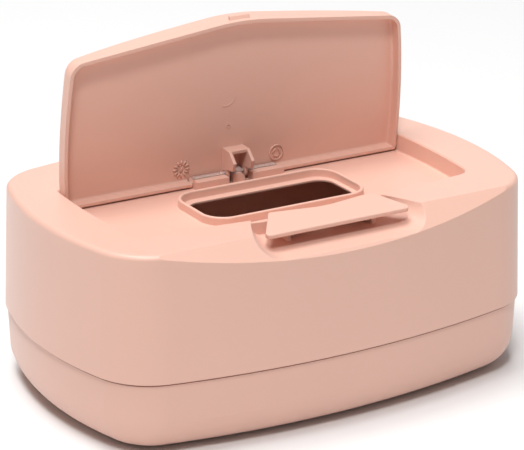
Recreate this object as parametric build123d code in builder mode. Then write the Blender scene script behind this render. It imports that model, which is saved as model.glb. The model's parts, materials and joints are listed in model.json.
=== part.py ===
from build123d import *
from math import atan2, cos, degrees, hypot, radians, sin, sqrt, tan
import os

os.makedirs("parts", exist_ok=True)

# A baby wipes box: a rounded tub, a cover that lifts off it, a flap lid in a pocket of the cover, and
# the button that frees the lid. X runs along the box, the front faces -Y and the table is Z = 0.
# Lengths are in millimetres. The lid is drawn wide open and the button with its rear edge up.

# Outline of the box, seen from above, where the cover meets the tub
box_length = 240.0
box_depth = 160.0
long_side_radius = 418.0
short_side_radius = 167.0
corner_radius = 31.2

# Tub
pad_stand = 0.8  # height of the tub's underside above the table
tub_height = 35.2  # from the tub's underside to the parting line
tub_step = 1.0  # how far the tub lies inside the cover's lower edge
tub_draft = 2.2  # slope of the tub's wall, from upright
tub_wall = 2.4
bottom_round = 16.5
lip_height = 4.0  # lip that the cover fits over
lip_wall = 1.8
lip_root = 3.0  # depth of the ledge that carries the lip
lip_fit = 0.3
parting_gap = 0.5

# Pads under the tub
pad_radius = 7.0
pad_recess = 0.8
pad_fit = 0.05
pad_offset_x = 72.0
pad_offset_y = 34.0

# Cover
cover_height = 60.0  # from the parting line to the rim
cover_draft = 2.3  # how far the rim lies inside the lower edge
cover_wall = 2.2
top_wall = 2.2
rim_round = 2.4
bevel_width = 14.2  # from the bevel's straight upper edge to the front, seen from above
bevel_angle = 42.0  # slope of the bevel, from level

# Pocket for the lid; its plan is drawn from the hinge line
hinge_y = 27.6
hinge_drop = 5.0  # hinge line below the rim
pocket_depth = 9.0
pocket_floor = 2.2
pocket_wall = 2.0
pocket_width = 186.0
pocket_side_radius = 330.0
pocket_side_middle = 20.0  # how far in front of the hinge the pocket is widest
pocket_rear = 5.4  # pocket's rear wall, behind the hinge line
pocket_reach = 78.4  # sharp tip of the pocket's front, ahead of the hinge line
front_slope = 6.5  # slope of each half of the pocket's V-shaped front
tip_radius = 120.0
pocket_corner = 8.5
pocket_rear_corner = 2.5
pocket_chamfer = 0.7
wall_drop = 1.0  # how far the wall behind the button is cut down below the rim

# Lid
open_angle = 86.0  # from closed to the stance that is drawn
lid_gap = 0.6
lid_depth = 7.4
lid_skin = 2.2
lid_wall = 1.8
lid_rear = 3.2  # lid's rear face, behind the hinge line
lid_edge_round = 2.2
lid_inner_round = 1.2
lid_swing_gap = 0.3  # between the floor and the lid's heel as it turns
stub_radius = 2.0
stub_length = 2.6
stub_fit = 0.08
ridge_width = 10.6
ridge_drop = 2.6  # top of the catch ridge below the lid's outer face
ridge_height = 2.6
ridge_reach = 1.6
ridge_nose = 0.9  # height of the ridge's blunt tip

# Bracket on the lid, which reaches round the spring strip
bracket_width = 11.6
bracket_wall = 1.6
bracket_top = 12.2  # its top plate's distance from the hinge line
bracket_plate_reach = 3.7
bracket_tip_top = 7.8
bracket_tip_reach = 8.8
bracket_foot_top = 3.6
bracket_foot_reach = 7.6
hook_wall = 1.6
hook_chin = 36.0  # where the hook leaves its round, below its level line, in degrees
hook_mouth = 1.8  # opening of the hook towards the lid's skin

# Spring strip, along the hinge line
strip_width = 3.2
strip_thickness = 1.2
strip_fit = 0.3
strip_bed = 0.05  # between the strip and the bottom of its tray
strip_core_radius = 1.1
knuckle_radius = 2.2
knuckle_width = 5.6

# Trays, saddle and slots on the pocket floor
tray_gap = 0.8  # from the bracket to the tray
tray_length = 17.4
tray_end_wall = 1.2
tray_front = 6.6
tray_back = 2.3
tray_rise = 0.2  # top of the tray above the hinge line
tray_clearance = 0.5  # from the tray's end to the lid's rear wall
slot_gap = 0.6
slot_back = 2.7  # rear end of the slots, ahead of the hinge line, for the hook's path
saddle_radius = 3.4
saddle_thickness = 1.7
saddle_rise = 4.6  # top of the saddle above the pocket floor
saddle_gap = 0.4

# Dispensing opening
collar_length = 87.0
collar_depth = 42.0
collar_middle_y = -6.9
collar_corner = 12.0
collar_height = 4.0
collar_wall = 1.7
collar_edge_round = 0.7
ledge_width = 4.6
ledge_end_width = 2.6
ledge_thickness = 1.0

# Finger recess in the front
recess_back = 1.8  # how far its rear lies behind the pocket's sharp tip
recess_rear_width = 72.0
recess_flare = 1.10  # width gained for each millimetre forward
recess_rear_depth = 6.8
recess_fall = 0.105  # depth gained for each millimetre forward
recess_rear_corner = 0.6
recess_front_corner = 24.0

# Button
pivot_ahead = 6.2  # from the pocket's sharp tip to the button's pin
pivot_drop = 5.0
button_tilt = 13.0
button_proud = 1.6  # how far the button stands above the rim when level
button_thickness = 2.0
button_gap = 0.6  # from the level button to the closed lid
button_front = 9.0  # front edge's distance from the pin
button_rear_width = 55.0
button_front_width = 79.0
button_corner = 2.0
button_edge_round = 0.6
latch_width = 9.6
latch_hold = 0.5  # how far the latch reaches over the lid's catch ridge
latch_gap = 0.4
latch_back = 1.2  # front of the latch, ahead of the plate's rear edge
notch_gap = 0.9
notch_depth = 5.2  # cut from the pocket's tip forward through the thin wall
rib_thickness = 2.0
rib_middle = 20.0
rib_reach = 4.0  # front end of a rib's upper edge, ahead of the pin
eye_radius = 2.2
pin_radius = 1.0
pin_press_fit = 0.02
pin_run_fit = 0.08
lug_thickness = 2.4
lug_gap = 0.5
lug_foot = 4.0  # half the length of a lug's foot

# Heights and places worked out from the sizes above
overlap = 0.8  # how deep an added feature is rooted in the wall that carries it
margin = 10.0  # how far a cutting shape stands clear of what it cuts
tub_top = pad_stand + tub_height
rim_z = tub_top + cover_height
floor_z = rim_z - pocket_depth
hinge_z = rim_z - hinge_drop
hinge_height = pocket_depth - hinge_drop
lid_edge = hinge_drop - lid_depth
skin_inner = hinge_drop - lid_skin
tip_y = pocket_reach - hinge_y
pivot_y = tip_y + pivot_ahead
pivot_z = rim_z - pivot_drop
recess_rear_y = tip_y - recess_back
bevel_edge_y = box_depth / 2 - bevel_width
cheek_outer = bracket_width / 2
cheek_inner = cheek_outer - bracket_wall
notch_radius = strip_core_radius + strip_fit
hook_radius = notch_radius + hook_wall
tray_inner = cheek_outer + tray_gap
tray_outer = tray_inner + tray_length
rear_cutout = 2 * (tray_outer + tray_clearance)
tongue_reach = bracket_top - bracket_wall - slot_gap
plate_swing = hypot(bracket_top, bracket_plate_reach)
tip_swing = hypot(bracket_tip_top, bracket_tip_reach)
slot_front = sqrt(max(plate_swing, tip_swing) ** 2 - hinge_height**2) + slot_gap
slot_rear = slot_back - slot_gap
ridge_half = ridge_width / 2
tip_ahead = pocket_reach - tip_radius * (1 / cos(radians(front_slope)) - 1) - lid_gap
ridge_tip_y = tip_ahead + ridge_reach - hinge_y
latch_reach = pivot_y - ridge_tip_y + latch_hold
button_middle = pivot_ahead - button_gap
button_rear = button_middle + tan(radians(front_slope)) * button_rear_width / 2
draft_angle = degrees(atan2(cover_draft, cover_height))
lug_inner = rib_middle + rib_thickness / 2 + lug_gap
lug_outer = lug_inner + lug_thickness

hinge_plane = Plane(origin=(0, hinge_y, 0))
lid_plane = Plane(
    origin=(0, hinge_y, hinge_z),
    x_dir=(1, 0, 0),
    z_dir=(0, sin(radians(open_angle)), cos(radians(open_angle))),
)
lid_side = Plane(origin=lid_plane.origin, x_dir=lid_plane.y_dir, z_dir=(1, 0, 0))
button_plane = Plane(
    origin=(0, -pivot_y, pivot_z),
    x_dir=(1, 0, 0),
    z_dir=(0, -sin(radians(button_tilt)), cos(radians(button_tilt))),
)
button_side = Plane(origin=button_plane.origin, x_dir=button_plane.y_dir, z_dir=(1, 0, 0))


def box_outline(inset):
    """Plan of the box drawn in by a distance: eight tangent arcs that keep their centres."""
    short_x = box_length / 2 - short_side_radius
    long_y = box_depth / 2 - long_side_radius
    to_corner_long = long_side_radius - corner_radius
    to_corner_short = short_side_radius - corner_radius
    span = hypot(short_x, long_y)
    along = (to_corner_long**2 - to_corner_short**2 + span**2) / (2 * span)
    across = sqrt(to_corner_long**2 - along**2)
    corner_x = (along * short_x - across * long_y) / span
    corner_y = long_y - (along * long_y + across * short_x) / span
    short_angle = degrees(atan2(corner_y, corner_x - short_x))
    long_angle = degrees(atan2(corner_y - long_y, corner_x))
    turn = long_angle - short_angle
    short_arc = short_side_radius - inset
    long_arc = long_side_radius - inset
    corner_arc = corner_radius - inset
    with BuildSketch() as outline:
        with BuildLine():
            CenterArc((short_x, 0), short_arc, -short_angle, 2 * short_angle)
            CenterArc((corner_x, corner_y), corner_arc, short_angle, turn)
            CenterArc((0, long_y), long_arc, long_angle, 180 - 2 * long_angle)
            CenterArc((-corner_x, corner_y), corner_arc, 180 - long_angle, turn)
            CenterArc((-short_x, 0), short_arc, 180 - short_angle, 2 * short_angle)
            CenterArc((-corner_x, -corner_y), corner_arc, 180 + short_angle, turn)
            CenterArc((0, -long_y), long_arc, 180 + long_angle, 180 - 2 * long_angle)
            CenterArc((corner_x, -corner_y), corner_arc, -long_angle, turn)
        make_face()
    return outline.sketch


def flap_half_width(gap, ahead):
    """Half the width of the pocket or the lid at a distance ahead of the hinge line."""
    arc = pocket_side_radius - gap
    return pocket_width / 2 - pocket_side_radius + sqrt(arc**2 - (ahead - pocket_side_middle) ** 2)


def flap_outline(gap, rear):
    """Plan of the pocket or the lid, from the hinge line: convex sides and a V-shaped front."""
    half = pocket_width / 2 + margin
    slope = tan(radians(front_slope))
    tip = -pocket_reach + gap / cos(radians(front_slope))
    with BuildSketch() as outline:
        Polygon(
            (-half, rear),
            (half, rear),
            (half, tip + slope * half),
            (0, tip),
            (-half, tip + slope * half),
            align=None,
        )
        for side in (-1, 1):
            with Locations((side * (pocket_width / 2 - pocket_side_radius), -pocket_side_middle)):
                Circle(pocket_side_radius - gap, mode=Mode.INTERSECT)
        fillet(outline.vertices().sort_by(Axis.Y)[-2:], max(pocket_rear_corner - gap, 0.4))
        fillet(outline.vertices().sort_by(Axis.Y)[1:3], max(pocket_corner - gap, 0.4))
        fillet(outline.vertices().sort_by(Axis.Y)[0:1], tip_radius - gap)
    return outline.sketch


def flap_block(grow, bottom, top):
    """The pocket's space, widened by a wall."""
    with BuildPart() as block:
        with BuildSketch(hinge_plane.offset(bottom)):
            add(flap_outline(-grow, pocket_rear + grow))
        extrude(amount=top - bottom)
    return block.part


def recess_floor(distance):
    """Height of the finger recess's floor at a distance in front of the middle of the box."""
    return rim_z - recess_rear_depth - recess_fall * (distance - recess_rear_y)


def recess_block(grow):
    """The finger recess's space, widened by a wall: it flares and deepens towards the front."""
    start = recess_rear_y - margin
    end = box_depth / 2 + margin
    top = rim_z + 2 * margin
    with BuildPart() as block:
        for distance in (start, end):
            half = (recess_rear_width + recess_flare * (distance - recess_rear_y)) / 2 + grow
            low = recess_floor(distance) - grow
            corner = grow + recess_rear_corner
            if distance == end:
                corner = grow + recess_front_corner
            with BuildSketch(Plane(origin=(0, -distance, 0), x_dir=(1, 0, 0), z_dir=(0, -1, 0))) as view:
                Polygon((-half, top), (-half, low), (half, low), (half, top), align=None)
                fillet(view.vertices().group_by(Axis.Y)[0], corner)
        loft(ruled=True)
    return block.part


def bevel_block(inset):
    """What the bevel takes off the front, drawn in by a distance."""
    edge = -bevel_edge_y + inset / sin(radians(bevel_angle))
    reach = box_depth / 2
    with BuildPart() as block:
        with BuildSketch(Plane.YZ):
            Polygon(
                (edge, rim_z),
                (edge - reach, rim_z - reach * tan(radians(bevel_angle))),
                (edge - reach, rim_z),
                align=None,
            )
        extrude(amount=box_length, both=True)
    return block.part


def tub_block(wall):
    """The tub's outer form, or the space inside it when a wall is given."""
    with BuildPart() as block:
        with BuildSketch(Plane.XY.offset(tub_top)):
            add(box_outline(tub_step + wall))
        extrude(amount=wall - tub_height, taper=tub_draft)
        fillet(block.faces().sort_by(Axis.Z)[0].edges(), bottom_round - wall)
    return block.part


# Tub: a round-bottomed shell with an inner lip for the cover and four shallow seats for the pads
with BuildPart() as base_tub:
    add(tub_block(0))
    add(tub_block(tub_wall), mode=Mode.SUBTRACT)
    with BuildSketch(Plane.XY.offset(tub_top - lip_root)):
        add(box_outline(cover_wall + lip_fit))
        add(box_outline(cover_wall + lip_fit + lip_wall), mode=Mode.SUBTRACT)
    extrude(amount=lip_root + lip_height)
    with BuildSketch(Plane.XY.offset(pad_stand)):
        with GridLocations(2 * pad_offset_x, 2 * pad_offset_y, 2, 2):
            Circle(pad_radius + pad_fit)
    extrude(amount=pad_recess, mode=Mode.SUBTRACT)

base_tub.part.label = "base_tub"
export_step(base_tub.part, "parts/base_tub.step")


# Pads: four soft discs, seated in the tub's underside
with BuildPart() as foot_pads:
    with BuildSketch():
        with GridLocations(2 * pad_offset_x, 2 * pad_offset_y, 2, 2):
            Circle(pad_radius)
    extrude(amount=pad_stand + pad_recess)

foot_pads.part.label = "foot_pads"
export_step(foot_pads.part, "parts/foot_pads.step")


# Space inside the cover: it leaves out the pocket, the finger recess and their walls
with BuildPart() as cover_space:
    with BuildSketch(Plane.XY.offset(tub_top)):
        add(box_outline(cover_wall))
    extrude(amount=cover_height - top_wall, taper=draft_angle)
    add(bevel_block(cover_wall), mode=Mode.SUBTRACT)
    add(flap_block(pocket_wall, floor_z - pocket_floor, rim_z), mode=Mode.SUBTRACT)
    add(recess_block(cover_wall), mode=Mode.SUBTRACT)

# Cut for the finger recess: it leaves the pocket's thin front wall, but for its top
with BuildPart() as recess_space:
    add(recess_block(0))
    add(flap_block(pocket_wall, floor_z - pocket_floor, rim_z - wall_drop), mode=Mode.SUBTRACT)

# Cover: the upper shell, with all that is moulded in one with it
with BuildPart() as cover:
    with BuildSketch(Plane.XY.offset(tub_top + parting_gap)):
        add(box_outline(0))
    extrude(amount=cover_height - parting_gap, taper=draft_angle)
    fillet(cover.faces().sort_by(Axis.Z)[-1].outer_wire().edges(), rim_round)
    add(bevel_block(0), mode=Mode.SUBTRACT)
    add(cover_space.part, mode=Mode.SUBTRACT)
    add(recess_space.part, mode=Mode.SUBTRACT)
    add(flap_block(0, floor_z, rim_z + margin), mode=Mode.SUBTRACT)

    # Chamfer round the pocket's mouth
    with BuildSketch(hinge_plane.offset(rim_z - pocket_chamfer)):
        add(flap_outline(0, pocket_rear))
    with BuildSketch(hinge_plane.offset(rim_z)):
        add(flap_outline(-pocket_chamfer, pocket_rear + pocket_chamfer))
    loft(ruled=True, mode=Mode.SUBTRACT)

    # Notch in the thin wall, for the lid's catch ridge and the button's latch
    with BuildSketch(Plane.XZ.offset(tip_y - pocket_wall)):
        with Locations((0, rim_z)):
            Rectangle(ridge_width + 2 * notch_gap, 2 * (ridge_drop + ridge_height + notch_gap))
    extrude(amount=notch_depth, mode=Mode.SUBTRACT)

    # Collar and ledge round the dispensing opening
    inner_length = collar_length - 2 * collar_wall
    inner_depth = collar_depth - 2 * collar_wall
    with BuildSketch(Plane.XY.offset(floor_z - overlap)):
        with Locations((0, collar_middle_y)):
            RectangleRounded(collar_length, collar_depth, collar_corner)
            RectangleRounded(inner_length, inner_depth, collar_corner - collar_wall, mode=Mode.SUBTRACT)
    extrude(amount=collar_height + overlap)
    collar_top = cover.faces().filter_by_position(Axis.Z, *[floor_z + collar_height] * 2)
    fillet(collar_top.edges(), collar_edge_round)
    with BuildSketch(Plane.XY.offset(floor_z - ledge_thickness)):
        with Locations((0, collar_middle_y)):
            RectangleRounded(inner_length, inner_depth, collar_corner - collar_wall)
    extrude(amount=-pocket_floor, mode=Mode.SUBTRACT)
    with BuildSketch(Plane.XY.offset(floor_z + overlap)):
        with Locations((0, collar_middle_y)):
            RectangleRounded(
                inner_length - 2 * ledge_end_width,
                inner_depth - 2 * ledge_width,
                collar_corner - collar_wall - ledge_end_width,
            )
    extrude(amount=-pocket_floor - 2 * overlap, mode=Mode.SUBTRACT)

    # Slots for the lid's bracket, either side of a tongue
    with BuildSketch(hinge_plane.offset(floor_z + overlap)):
        with Locations((0, -slot_rear)):
            Rectangle(bracket_width + 2 * slot_gap, slot_front - slot_rear, align=(Align.CENTER, Align.MAX))
            Rectangle(
                2 * (cheek_inner - slot_gap),
                tongue_reach - slot_rear,
                align=(Align.CENTER, Align.MAX),
                mode=Mode.SUBTRACT,
            )
    extrude(amount=-pocket_floor - 2 * overlap, mode=Mode.SUBTRACT)

    # Saddle on the tongue, in front of the strip's knuckle
    saddle_face = knuckle_radius + saddle_gap - hinge_y
    with BuildSketch(Plane.XZ.offset(saddle_face)):
        with Locations((0, floor_z + saddle_rise - saddle_radius)):
            Circle(saddle_radius)
        with Locations((0, floor_z - overlap)):
            Rectangle(
                2 * saddle_radius,
                saddle_rise + overlap,
                align=(Align.CENTER, Align.MIN),
                mode=Mode.INTERSECT,
            )
    extrude(amount=saddle_thickness)

    # Trays for the strip's flat ends
    for side in (-1, 1):
        with BuildSketch(Plane.YZ.offset(side * tray_inner)):
            with Locations((hinge_y - tray_front, floor_z - overlap)):
                Rectangle(
                    tray_front + tray_back,
                    overlap + hinge_height + tray_rise,
                    align=(Align.MIN, Align.MIN),
                )
        extrude(amount=side * tray_length)
        with BuildSketch(Plane.YZ.offset(side * (tray_inner - overlap))):
            with Locations((hinge_y, hinge_z - strip_thickness / 2 - strip_bed)):
                Rectangle(
                    strip_width + 2 * strip_fit,
                    pocket_depth,
                    align=(Align.CENTER, Align.MIN),
                )
        extrude(amount=side * (tray_length + overlap - tray_end_wall), mode=Mode.SUBTRACT)

    # Holes in the pocket's side walls, for the lid's stubs
    with BuildSketch(Plane.YZ):
        with Locations((hinge_y, hinge_z)):
            Circle(stub_radius + stub_fit)
    extrude(amount=flap_half_width(0, 0) + pocket_wall + overlap, both=True, mode=Mode.SUBTRACT)

    # Lugs on the recess floor, which hold the ends of the button's pin
    for side in (-1, 1):
        with BuildSketch(Plane.YZ.offset(side * lug_inner)):
            with Locations((-pivot_y, pivot_z)):
                Circle(eye_radius)
            Polygon(
                (-pivot_y - eye_radius, pivot_z),
                (-pivot_y - lug_foot, recess_floor(pivot_y + lug_foot) - overlap),
                (-pivot_y + lug_foot, recess_floor(pivot_y - lug_foot) - overlap),
                (-pivot_y + eye_radius, pivot_z),
                align=None,
            )
            with Locations((-pivot_y, pivot_z)):
                Circle(pin_radius + pin_press_fit, mode=Mode.SUBTRACT)
        extrude(amount=side * lug_thickness)

cover.part.label = "cover"
export_step(cover.part, "parts/cover.step")


# Lid: a shallow dish that turns on two stubs; its catch ridge is at the tip of the front edge
with BuildPart() as lid:
    with BuildSketch(lid_plane.offset(lid_edge)):
        add(flap_outline(lid_gap, lid_rear))
    extrude(amount=lid_depth)
    outer_face = lid.faces().sort_by(Axis(lid_plane.origin, lid_plane.z_dir))[-1]
    fillet(outer_face.edges(), lid_edge_round)
    with BuildSketch(lid_plane.offset(lid_edge)):
        add(flap_outline(lid_gap + lid_wall, lid_rear - lid_wall))
    extrude(amount=lid_depth - lid_skin, mode=Mode.SUBTRACT)
    inner_face = lid.faces().filter_by(lid_plane).sort_by(Axis(lid_plane.origin, lid_plane.z_dir))[-2]
    fillet(inner_face.edges(), lid_inner_round)

    # Gap in the rear wall for the trays, and a heel turned about the hinge line
    with BuildSketch(lid_plane.offset(lid_edge - overlap)):
        with Locations((0, lid_rear - lid_wall - lid_inner_round)):
            Rectangle(rear_cutout, margin, align=(Align.CENTER, Align.MIN))
    extrude(amount=lid_depth - lid_skin + overlap, mode=Mode.SUBTRACT)
    with BuildSketch(lid_side):
        Rectangle(margin, margin, align=(Align.MIN, Align.MAX))
        Circle(hinge_height - lid_swing_gap, mode=Mode.SUBTRACT)
    extrude(amount=pocket_width, both=True, mode=Mode.SUBTRACT)

    # Stubs at the sides
    for side in (-1, 1):
        with BuildSketch(lid_side.offset(side * (flap_half_width(lid_gap, 0) - lid_wall))):
            Circle(stub_radius)
        extrude(amount=side * (lid_wall + stub_length))

    # Catch ridge at the tip
    with BuildSketch(lid_side.offset(-ridge_half)):
        Polygon(
            (-tip_ahead + overlap, hinge_drop - ridge_drop),
            (-tip_ahead - ridge_reach, hinge_drop - ridge_drop),
            (-tip_ahead - ridge_reach, hinge_drop - ridge_drop - ridge_nose),
            (-tip_ahead + overlap, hinge_drop - ridge_drop - ridge_height),
            align=None,
        )
    extrude(amount=ridge_width)

    # Bracket: two cheeks that hook round the strip, and a plate across their front
    for side in (-1, 1):
        with BuildSketch(lid_side.offset(side * cheek_inner)):
            Polygon(
                (-bracket_top, skin_inner + overlap),
                (-bracket_top, -bracket_plate_reach),
                (-bracket_tip_top, -bracket_tip_reach),
                (-bracket_foot_top, -bracket_foot_reach),
                (-hook_radius * cos(radians(hook_chin)), -hook_radius * sin(radians(hook_chin))),
                (hook_radius, 0),
                (hook_radius, skin_inner + overlap),
                align=None,
            )
            Circle(hook_radius)
            Circle(notch_radius, mode=Mode.SUBTRACT)
            Rectangle(
                margin,
                hook_mouth,
                align=(Align.MIN, Align.CENTER),
                mode=Mode.SUBTRACT,
            )
        extrude(amount=side * bracket_wall)
    with BuildSketch(lid_side.offset(-cheek_outer)):
        with Locations((-bracket_top, skin_inner + overlap)):
            Rectangle(
                bracket_wall,
                skin_inner + overlap + bracket_plate_reach,
                align=(Align.MIN, Align.MAX),
            )
    extrude(amount=bracket_width)

lid.part.label = "lid"
export_step(lid.part, "parts/lid.step")


# Spring strip: flat ends that lie in the trays, a round core through the bracket and a knuckle
with BuildPart() as spring_strip:
    strip_end = tray_outer - tray_end_wall - strip_fit
    for side in (-1, 1):
        with BuildSketch(Plane(origin=(0, hinge_y, hinge_z))):
            with Locations((side * (tray_inner + strip_end) / 2, 0)):
                Rectangle(strip_end - tray_inner, strip_width)
        extrude(amount=strip_thickness / 2, both=True)
    with BuildSketch(Plane(origin=(0, hinge_y, hinge_z), z_dir=(1, 0, 0))):
        Circle(strip_core_radius)
    extrude(amount=tray_inner + strip_width / 2, both=True)
    with BuildSketch(Plane(origin=(0, hinge_y, hinge_z), z_dir=(1, 0, 0))):
        Circle(knuckle_radius)
    extrude(amount=knuckle_width / 2, both=True)

spring_strip.part.label = "spring_strip"
export_step(spring_strip.part, "parts/spring_strip.step")


# Button: a flaring plate with a latch at its rear edge and two ribs that turn on the pin
with BuildPart() as release_button:
    with BuildSketch(button_plane.offset(pivot_drop + button_proud - button_thickness)) as plate:
        Polygon(
            (-button_rear_width / 2, button_rear),
            (0, button_middle),
            (button_rear_width / 2, button_rear),
            (button_front_width / 2, -button_front),
            (-button_front_width / 2, -button_front),
            align=None,
        )
        fillet(plate.vertices().sort_by(Axis.X)[:2] + plate.vertices().sort_by(Axis.X)[-2:], button_corner)
    extrude(amount=button_thickness)
    button_face = release_button.faces().sort_by(Axis(button_plane.origin, button_plane.z_dir))[-1]
    fillet(button_face.edges(), button_edge_round)
    latch_bottom = pivot_drop - ridge_drop + latch_gap
    with BuildSketch(button_side.offset(-latch_width / 2)):
        Polygon(
            (button_middle - button_thickness, pivot_drop + button_proud - button_edge_round),
            (latch_reach, pivot_drop + button_proud - button_edge_round),
            (latch_reach, latch_bottom),
            (button_middle - latch_back, latch_bottom),
            (button_middle - latch_back - button_thickness, pivot_drop + button_proud - button_thickness),
            align=None,
        )
    extrude(amount=latch_width)
    for side in (-1, 1):
        rib_plane = button_side.offset(side * rib_middle - rib_thickness / 2)
        with BuildSketch(rib_plane):
            Circle(eye_radius)
            Polygon(
                (-eye_radius, 0),
                (-rib_reach, pivot_drop + button_proud - button_thickness / 2),
                (button_rear - button_corner, pivot_drop + button_proud - button_thickness / 2),
                (eye_radius, 0),
                align=None,
            )
            Circle(pin_radius + pin_run_fit, mode=Mode.SUBTRACT)
        extrude(amount=rib_thickness)

release_button.part.label = "release_button"
export_step(release_button.part, "parts/release_button.step")


# Pin that the button rocks on: a plain rod, held in the lugs
with BuildPart() as button_pin:
    with BuildSketch(Plane(origin=(0, -pivot_y, pivot_z), z_dir=(1, 0, 0))):
        Circle(pin_radius)
    extrude(amount=lug_outer, both=True)

button_pin.part.label = "button_pin"
export_step(button_pin.part, "parts/button_pin.step")
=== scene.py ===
import json
from math import cos, pi, radians, sin
import bmesh
import bpy
from mathutils import Matrix, Vector
from mathutils.geometry import convex_hull_2d


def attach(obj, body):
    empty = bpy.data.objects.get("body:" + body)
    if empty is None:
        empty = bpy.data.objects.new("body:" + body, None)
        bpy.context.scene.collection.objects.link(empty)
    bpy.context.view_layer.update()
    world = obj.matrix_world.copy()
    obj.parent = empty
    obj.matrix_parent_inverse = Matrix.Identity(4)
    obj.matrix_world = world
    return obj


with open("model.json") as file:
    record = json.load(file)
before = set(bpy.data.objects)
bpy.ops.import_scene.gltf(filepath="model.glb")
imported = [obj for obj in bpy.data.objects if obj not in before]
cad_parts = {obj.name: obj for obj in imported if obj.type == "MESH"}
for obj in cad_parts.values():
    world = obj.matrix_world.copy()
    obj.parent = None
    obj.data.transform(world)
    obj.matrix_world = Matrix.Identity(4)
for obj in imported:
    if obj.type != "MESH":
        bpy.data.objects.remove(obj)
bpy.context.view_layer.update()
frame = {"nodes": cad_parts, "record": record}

# Camera, fitted to the photograph's outline, seam and rim; the photograph is 524 pixels wide
AZIMUTH = radians(-30.883)
ELEVATION = radians(20.149)
ROLL = radians(0.361)
DISTANCE = 1.1343
LENS = 164.15  # millimetres, as the sensor is
SENSOR = 36
NEAREST = 0.05  # metres from the camera between which it sees
FARTHEST = 20
AIM_SIDE = -0.0008  # the point looked at, beside and above the middle of the underside
AIM_HEIGHT = 0.0723

# Stage and light: places and sizes in metres, powers in watts
FLOOR_SIZE = 12
FLOOR_TONE = (0.82, 0.82, 0.82, 1)
FLOOR_ROUGHNESS = 0.9
LIT_POINT = (0, 0, 0.08)
LIGHTS = (  # name, place, size and power: overhead, in front, and low behind
    ("key_light", (-0.45, 0.2, 3.2), 1.6, 86),
    ("front_light", (-1.0, -1.4, 2.8), 0.6, 46),
    ("back_light", (1.3, 2.1, 0.9), 2.2, 9),
)
SURROUND_TONE = (1, 1, 1, 1)
SURROUND_STRENGTH = 0.18

# Finishes: colour, roughness and grain
PINK = (0.820, 0.500, 0.400, 1)
SHELL_FINISH = (PINK, 0.42, 0.25)
LID_FINISH = (PINK, 0.45, 0.2)
PIN_FINISH = ((0.62, 0.47, 0.42, 1), 0.4, 0.1)
PAD_FINISH = ((0.6, 0.57, 0.54, 1), 0.7, 0.4)
CLEAR_FINISH = ((0.97, 0.79, 0.73, 1), 0.16, 0.02)
CLEAR_TRANSMISSION = 0.5

# Moulded plastic: its slow clouds, its pores and how it takes light; lengths in metres
CLOUD_SCALE = 9
CLOUD_DETAIL = 3
CLOUD_TONES = (0.96, 1.03)  # shares of the colour that the clouds run between
CLOUD_GLOSS = 0.05  # how far they take the roughness either way
PORE_SCALE = 1400
PORE_DETAIL = 2
PORE_DEPTH = 0.0001
EDGE_ROUND = 0.0006  # radius that sharp edges are shaded with
EDGE_SAMPLES = 6
PLASTIC_BODY = {
    "IOR": 1.49,
    "Sheen Weight": 0.2,
    "Sheen Roughness": 0.45,
    "Subsurface Weight": 0.08,
    "Subsurface Radius": (1.0, 0.5, 0.35),
    "Subsurface Scale": 0.002,
}

# Seam: painted shadow of the gap, as brown on the tub from just under the cover's edge upward
SEAM_BAND = 0.0011  # metres under the cover's edge where the brown begins
SEAM_FULL = 0.8  # share of that depth where it is full
# colour of the painted shadow in the gap between cover and tub
SEAM_SHADOW_BROWN = (0.34, 0.13, 0.09, 1)

# Lid, in millimetres from its hinge line: across, ahead of the hinge and out through its skin
MM = 0.001
WALL_TOP = 2.8  # where the lid's wall ends and the round of its outer face begins
INNER_FACE = 2.8
OUTER_FACE = 5.0
OUTLINE_MATCH = 0.02  # how near the wall's top a point of the lid belongs to its outline
OUTLINE_MERGE = 0.05  # points of the outline nearer than this are one
OUTLINE_STEP = 3

# Crown of the lid, in the same millimetres: its domed outer face
CROWN_RISE = 7.0  # rise of the outer face in the middle of its front edge
CROWN_HALF = 94.0
CROWN_POWER = 3  # how flat the dome is in the middle, and how steep at its sides
CROWN_START = 6.0  # how far ahead of the hinge the rise begins
CROWN_REACH = 71.0
CROWN_ROUND = 2.9
CROWN_COVER = 0.03  # how far the crowned face stands outside the plain wall
CROWN_CENTRE = Vector((0, 38))
CROWN_FOOT = (  # rings in and along the lid's skin: inset, and level over the wall's top
    (2.4, 0.8),
    (1.0, -0.2),
    (-CROWN_COVER, -0.2),
    (-CROWN_COVER, -0.15),
)
CROWN_LOWEST = -0.1  # level over the wall's top that the crown's round keeps above
ROUND_STEPS = 8
FACE_STEPS = 16
CORNER_SHARE = 0.55  # share of an inset that is kept at the tight corners by the hinge
CORNER_REACH = 14.0  # how far ahead of the hinge the insets are whole again

# Marks of the mould on the lid's inner face, in the same millimetres and in degrees
LINE_SINK = 0.2  # how deep a raised line's foot lies in the skin
LINE_TOP = 0.6  # width of its top, as a share of its foot
DIAL_CENTRE = Vector((-28.0, 5.0))
DIAL_TICKS = 12
DIAL_REACH = (2.0, 4.5)  # radii between which the ticks lie
DIAL_LINE = (0.8, 0.6)  # width and height
POINTER_HALF = Vector((0.4, 1.6))
RING_CENTRE = Vector((24.7, 4.9))
RING_LINE = (0.7, 0.6)
ROUND_MARKS = (  # name, centre, radius, first and last angle, steps, line
    ("mark_ring", RING_CENTRE, 3.8, 0, 357, 40, RING_LINE),
    ("mark_arc_1", RING_CENTRE, 1.9, 100, 190, 8, RING_LINE),
    ("mark_arc_2", RING_CENTRE, 1.9, 220, 310, 8, RING_LINE),
    ("mark_arc_3", RING_CENTRE, 1.9, 340, 430, 8, RING_LINE),
    ("gate_scar", Vector((-4.6, 38.6)), 5.2, 250, 345, 16, (0.9, 0.25)),
    ("gate_ring", Vector((-2.9, 22.9)), 0.9, 0, 350, 18, (0.6, 0.3)),
)


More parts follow.
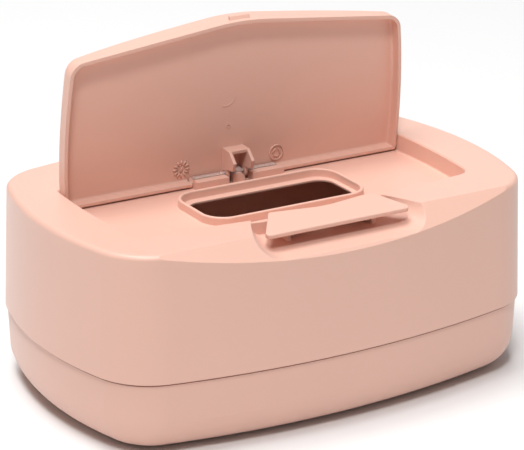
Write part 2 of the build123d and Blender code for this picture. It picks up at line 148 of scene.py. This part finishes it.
def add_camera():
    """The camera, at the photograph's viewing angle."""
    flat = cos(ELEVATION)
    back = Vector((sin(AZIMUTH) * flat, -cos(AZIMUTH) * flat, sin(ELEVATION)))
    level = Vector((0, 0, 1)).cross(back).normalized()
    upright = back.cross(level)
    right = level * cos(ROLL) + upright * sin(ROLL)
    up = upright * cos(ROLL) - level * sin(ROLL)
    place = level * AIM_SIDE + Vector((0, 0, AIM_HEIGHT)) + back * DISTANCE
    data = bpy.data.cameras.new("photo_camera")
    data.sensor_width = SENSOR
    data.lens = LENS
    data.clip_start = NEAREST
    data.clip_end = FARTHEST
    camera = bpy.data.objects.new("photo_camera", data)
    bpy.context.scene.collection.objects.link(camera)
    rotation = Matrix((right, up, back)).transposed()
    camera.matrix_world = Matrix.Translation(place) @ rotation.to_4x4()
    bpy.context.scene.camera = camera


def add_stage():
    """A plain white floor that the box stands on."""
    bpy.ops.mesh.primitive_plane_add(size=FLOOR_SIZE)
    floor = bpy.context.object
    floor.name = "floor"
    material = bpy.data.materials.new("floor_white")
    material.use_nodes = True
    shader = material.node_tree.nodes["Principled BSDF"]
    shader.inputs["Base Color"].default_value = FLOOR_TONE
    shader.inputs["Roughness"].default_value = FLOOR_ROUGHNESS
    floor.data.materials.append(material)


def add_area_light(name, place, aim, size, power):
    """A soft box light that faces a point."""
    data = bpy.data.lights.new(name, "AREA")
    data.shape = "SQUARE"
    data.size = size
    data.energy = power
    light = bpy.data.objects.new(name, data)
    bpy.context.scene.collection.objects.link(light)
    light.location = place
    light.rotation_euler = (Vector(aim) - Vector(place)).to_track_quat("-Z", "Y").to_euler()


def add_lights():
    """Soft studio light from above, in front and behind, in a pale surround."""
    for name, place, size, power in LIGHTS:
        add_area_light(name, place, LIT_POINT, size, power)
    world = bpy.data.worlds.new("surround")
    bpy.context.scene.world = world
    world.use_nodes = True
    background = world.node_tree.nodes["Background"]
    background.inputs["Color"].default_value = SURROUND_TONE
    background.inputs["Strength"].default_value = SURROUND_STRENGTH


def moulded_plastic(name, colour, roughness, grain, edge_round=EDGE_ROUND):
    """Satin moulded plastic: fine pores in its surface and slight changes of gloss and tone."""
    material = bpy.data.materials.new(name)
    material.use_nodes = True
    nodes, links = material.node_tree.nodes, material.node_tree.links
    shader = nodes["Principled BSDF"]
    place = nodes.new("ShaderNodeTexCoord")

    clouds = nodes.new("ShaderNodeTexNoise")
    clouds.inputs["Scale"].default_value = CLOUD_SCALE
    clouds.inputs["Detail"].default_value = CLOUD_DETAIL
    links.new(place.outputs["Object"], clouds.inputs["Vector"])
    tone = nodes.new("ShaderNodeMapRange")
    tone.inputs["To Min"].default_value = CLOUD_TONES[0]
    tone.inputs["To Max"].default_value = CLOUD_TONES[1]
    links.new(clouds.outputs["Fac"], tone.inputs["Value"])
    tint = nodes.new("ShaderNodeVectorMath")
    tint.operation = "SCALE"
    tint.inputs[0].default_value = colour[:3]
    links.new(tone.outputs["Result"], tint.inputs["Scale"])
    links.new(tint.outputs["Vector"], shader.inputs["Base Color"])

    gloss = nodes.new("ShaderNodeMapRange")
    gloss.inputs["To Min"].default_value = roughness - CLOUD_GLOSS
    gloss.inputs["To Max"].default_value = roughness + CLOUD_GLOSS
    links.new(clouds.outputs["Fac"], gloss.inputs["Value"])
    links.new(gloss.outputs["Result"], shader.inputs["Roughness"])

    pores = nodes.new("ShaderNodeTexNoise")
    pores.inputs["Scale"].default_value = PORE_SCALE
    pores.inputs["Detail"].default_value = PORE_DETAIL
    links.new(place.outputs["Object"], pores.inputs["Vector"])
    soft_edge = nodes.new("ShaderNodeBevel")
    soft_edge.samples = EDGE_SAMPLES
    soft_edge.inputs["Radius"].default_value = edge_round
    bump = nodes.new("ShaderNodeBump")
    bump.inputs["Strength"].default_value = grain
    bump.inputs["Distance"].default_value = PORE_DEPTH
    links.new(pores.outputs["Fac"], bump.inputs["Height"])
    links.new(soft_edge.outputs["Normal"], bump.inputs["Normal"])
    links.new(bump.outputs["Normal"], shader.inputs["Normal"])

    for socket, value in PLASTIC_BODY.items():
        shader.inputs[socket].default_value = value
    return material


def paint_seam_shadow(material):
    """Browns the tub from just under the cover's edge upward, as a painted shadow of the gap.
    """
    nodes, links = material.node_tree.nodes, material.node_tree.links
    edge = min(vertex.co.z for vertex in frame["nodes"]["cover"].data.vertices)
    height = nodes.new("ShaderNodeSeparateXYZ")
    links.new(nodes["Texture Coordinate"].outputs["Object"], height.inputs["Vector"])
    band = nodes.new("ShaderNodeMapRange")
    band.inputs["From Min"].default_value = edge - SEAM_BAND
    band.inputs["From Max"].default_value = edge - SEAM_BAND * SEAM_FULL
    links.new(height.outputs["Z"], band.inputs["Value"])
    shade = nodes.new("ShaderNodeMix")
    shade.data_type = "RGBA"
    factor, plain, brown = [socket for socket in shade.inputs if socket.enabled]
    brown.default_value = SEAM_SHADOW_BROWN
    links.new(band.outputs["Result"], factor)
    links.new(nodes["Vector Math"].outputs["Vector"], plain)
    mixed = next(socket for socket in shade.outputs if socket.enabled)
    links.new(mixed, nodes["Principled BSDF"].inputs["Base Color"])


def finish_node(name, material):
    """Gives a CAD node its finish."""
    for slot in frame["nodes"][name].material_slots:
        slot.material = material


def lid_stance():
    """The open lid's hinge point, and its directions ahead of the hinge and out of its skin."""
    joints = frame["record"]["behaviour"]["joints"]
    hinge = next(joint for joint in joints if joint["name"] == "lid_hinge")
    opened = radians(hinge["range_deg"][1])
    ahead = Vector((0, -cos(opened), sin(opened)))
    out = Vector((0, sin(opened), cos(opened)))
    return Vector(hinge["pos_m"]), ahead, out


HINGE, AHEAD, OUT = lid_stance()


def lid_point(across, ahead, out):
    """A point of the lid, from millimetres to the scene's metres."""
    return HINGE + (Vector((across, 0, 0)) + AHEAD * ahead + OUT * out) * MM


def new_piece(name, rings, body, material):
    """A smooth closed mesh through rings of points, each end a fan round its own centre."""
    mesh = bpy.data.meshes.new(name)
    build = bmesh.new()
    rows = [[build.verts.new(point) for point in ring] for ring in rings]
    count = len(rings[0])
    for lower, upper in zip(rows, rows[1:]):
        for here in range(count):
            after = (here + 1) % count
            build.faces.new((lower[here], lower[after], upper[after], upper[here]))
    for ring, row in ((rings[0], rows[0]), (rings[-1], rows[-1])):
        middle = build.verts.new(sum(ring, Vector()) / count)
        for here in range(count):
            build.faces.new((row[here], row[(here + 1) % count], middle))
    bmesh.ops.recalc_face_normals(build, faces=build.faces)
    build.to_mesh(mesh)
    build.free()
    for face in mesh.polygons:
        face.use_smooth = True
    mesh.materials.append(material)
    piece = bpy.data.objects.new(name, mesh)
    bpy.context.scene.collection.objects.link(piece)
    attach(piece, body)


def lid_outline():
    """The lid's plan, read from the top of its wall, as points about OUTLINE_STEP apart."""
    plan = []
    for vertex in frame["nodes"]["lid"].data.vertices:
        place = (vertex.co - HINGE) / MM
        if abs(place.dot(OUT) - WALL_TOP) < OUTLINE_MATCH:
            plan.append(Vector((place.x, place.dot(AHEAD))))
    hull = [plan[index] for index in convex_hull_2d(plan)]
    corners = [
        point
        for point, before in zip(hull, hull[-1:] + hull[:-1])
        if (point - before).length > OUTLINE_MERGE
    ]
    points = []
    for here, after in zip(corners, corners[1:] + corners[:1]):
        steps = max(1, round((after - here).length / OUTLINE_STEP))
        points += [here.lerp(after, step / steps) for step in range(steps)]
    return points


def crown_inset(point, inset):
    """An inset of the outline, smaller by the hinge, where the lid's corners are tight."""
    open_share = min(max(point.y / CORNER_REACH, 0), 1)
    return inset * (CORNER_SHARE + (1 - CORNER_SHARE) * open_share)


def crown_rise(point):
    """The lid's rise over a flat outer face: domed across, and growing from the hinge."""
    across = max(0, 1 - abs(point.x / CROWN_HALF) ** CROWN_POWER)
    ahead = min(max((point.y - CROWN_START) / CROWN_REACH, 0), 1)
    return CROWN_RISE * across * (1 - (1 - ahead) ** 2)


def add_lid_crown(material):
    """The domed outer face of the lid, a solid cap that stands on the lid's skin."""
    outline = lid_outline()
    count = len(outline)
    turn = [(outline[(i + 1) % count] - outline[i - 1]).normalized() for i in range(count)]
    inward = [Vector((-way.y, way.x)) for way in turn]
    if (outline[0] + inward[0] - CROWN_CENTRE).length > (outline[0] - CROWN_CENTRE).length:
        inward = [-way for way in inward]

    def inset_points(inset):
        return [point + way * crown_inset(point, inset) for point, way in zip(outline, inward)]

    rings = []
    for inset, level in CROWN_FOOT:
        rings.append([lid_point(p.x, p.y, WALL_TOP + level) for p in inset_points(inset)])
    for step in range(ROUND_STEPS + 1):
        angle = pi / 2 * step / ROUND_STEPS
        inset = CROWN_ROUND * (1 - cos(angle)) - CROWN_COVER
        drop = CROWN_ROUND * (1 - sin(angle)) - CROWN_COVER
        ring = []
        for p in inset_points(inset):
            level = max(OUTER_FACE + crown_rise(p) - drop, WALL_TOP + CROWN_LOWEST)
            ring.append(lid_point(p.x, p.y, level))
        rings.append(ring)
    edge = inset_points(CROWN_ROUND - CROWN_COVER)
    for step in range(1, FACE_STEPS):
        shrink = 1 - step / FACE_STEPS
        places = [CROWN_CENTRE + (point - CROWN_CENTRE) * shrink for point in edge]
        face = OUTER_FACE + CROWN_COVER
        rings.append([lid_point(p.x, p.y, face + crown_rise(p)) for p in places])
    new_piece("lid_crown", rings, "lid", material)


def raised_line(path, width, height):
    """A raised moulded line on the lid's inner face: rings of four points along a path."""
    rings = []
    last = len(path) - 1
    foot, top = INNER_FACE + LINE_SINK, INNER_FACE - height
    for index, point in enumerate(path):
        way = (path[min(index + 1, last)] - path[max(index - 1, 0)]).normalized()
        side = Vector((-way.y, way.x)) * width / 2
        rings.append(
            [
                lid_point(*(point + side), foot),
                lid_point(*(point + side * LINE_TOP), top),
                lid_point(*(point - side * LINE_TOP), top),
                lid_point(*(point - side), foot),
            ]
        )
    return rings


def round_path(centre, radius, start, end, steps):
    """Points along an arc on the lid's inner face, its angles in degrees."""
    angles = [radians(start + (end - start) * step / steps) for step in range(steps + 1)]
    return [centre + Vector((cos(angle), sin(angle))) * radius for angle in angles]


def add_mark(name, path, line, material):
    """A mark of the mould: a raised line of a given width and height along a path."""
    new_piece(name, raised_line(path, *line), "lid", material)


def add_mould_marks(material):
    """The marks inside the lid: a dial and its pointer, a ring with arcs, and a gate's scar."""
    for index in range(DIAL_TICKS):
        angle = radians(360 / DIAL_TICKS * index)
        way = Vector((cos(angle), sin(angle)))
        tick = [DIAL_CENTRE + way * radius for radius in DIAL_REACH]
        add_mark("dial_tick_%02d" % (index + 1), tick, DIAL_LINE, material)
    pointer = [DIAL_CENTRE - POINTER_HALF, DIAL_CENTRE + POINTER_HALF]
    add_mark("dial_pointer", pointer, DIAL_LINE, material)
    for name, centre, radius, start, end, steps, line in ROUND_MARKS:
        add_mark(name, round_path(centre, radius, start, end, steps), line, material)


bpy.context.scene.view_settings.view_transform = "Standard"
add_camera()
add_stage()
add_lights()

shell_plastic = moulded_plastic("shell_plastic", *SHELL_FINISH)
lid_plastic = moulded_plastic("lid_plastic", *LID_FINISH)
tub_plastic = moulded_plastic("tub_plastic", *SHELL_FINISH)
# Painted shadow: the tub's colour turns brown from just under the cover's edge upward, its lip
# included
paint_seam_shadow(tub_plastic)
finish_node("base_tub", tub_plastic)
finish_node("cover", shell_plastic)
finish_node("lid", lid_plastic)
finish_node("release_button", shell_plastic)
finish_node("button_pin", moulded_plastic("pin_plastic", *PIN_FINISH))
finish_node("foot_pads", moulded_plastic("pad_rubber", *PAD_FINISH))

# A wider shaded round would draw a line along the crown's foot, where it meets the lid
add_lid_crown(moulded_plastic("crown_plastic", *LID_FINISH, edge_round=CROWN_COVER * MM))
add_mould_marks(lid_plastic)

clear_plastic = moulded_plastic("clear_plastic", *CLEAR_FINISH)
clear_shader = clear_plastic.node_tree.nodes["Principled BSDF"]
clear_shader.inputs["Transmission Weight"].default_value = CLEAR_TRANSMISSION
finish_node("spring_strip", clear_plastic)
